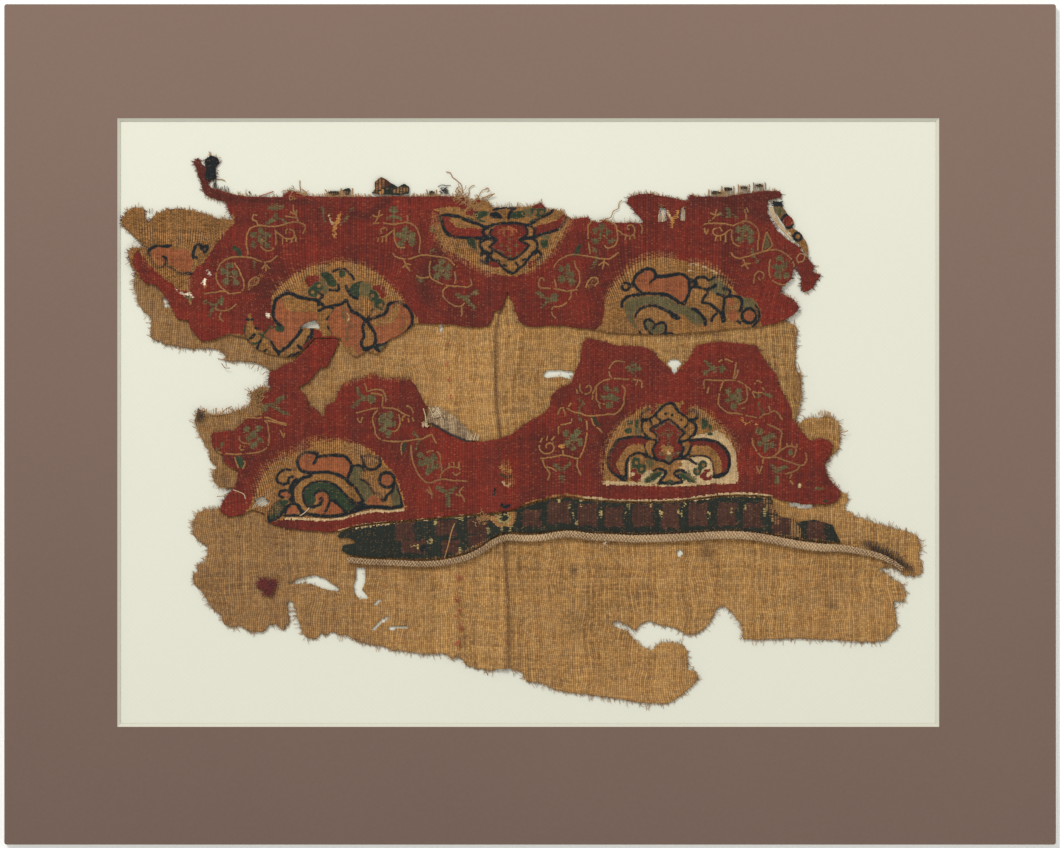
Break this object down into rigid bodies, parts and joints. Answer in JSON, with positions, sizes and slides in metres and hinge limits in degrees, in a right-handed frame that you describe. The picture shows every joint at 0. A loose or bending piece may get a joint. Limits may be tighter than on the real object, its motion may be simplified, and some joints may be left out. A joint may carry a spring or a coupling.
{
  "type": "coptic tapestry fragment on ground cloth in a window mat frame",
  "caption": "Flat ragged red and tan tapestry-woven fragment sewn on its ground cloth, laid on a cream backing board behind a bevelled window mat.",
  "frame": {"origin": "middle of the back face of the backing board, on the surface it rests on", "axes": "+X to the right and +Y to the top of the mat as it is read, +Z out of its face"},
  "size_m": [0.508, 0.406, 0.007],
  "materials": {
    "cream_board": "matt uncoated cream card with a faint laid grain",
    "taupe_mat": "matt taupe facing paper over a cream card core that shows at the bevel",
    "tan_ground": "plain-woven tan linen, aged and ragged",
    "red_tapestry": "ribbed wool tapestry weave, madder red with vines, leaves and lunettes",
    "dark_border": "ribbed wool tapestry weave, blue-black checked with purple-brown",
    "grey_patch": "thin greyish brown plain weave",
    "natural_cord": "twined undyed linen yarn"
  },
  "bodies": {
    "root": {"backing_board": "cream_board", "window_mat": "taupe_mat", "ground_cloth_left": "tan_ground", "ground_cloth_right": "tan_ground", "tapestry_upper_band": "red_tapestry", "tapestry_lower_band": "red_tapestry", "checked_border": "dark_border", "lunette_scrap": "dark_border", "mending_patch": "grey_patch", "border_scrap_large": "dark_border", "edge_cord": "natural_cord", "border_scrap_1": "dark_border", "border_scrap_2": "dark_border", "border_scrap_3": "dark_border", "border_scrap_4": "dark_border", "border_scrap_5": "dark_border", "border_scrap_6": "dark_border", "border_scrap_7": "dark_border"}
  },
  "joints": []
}
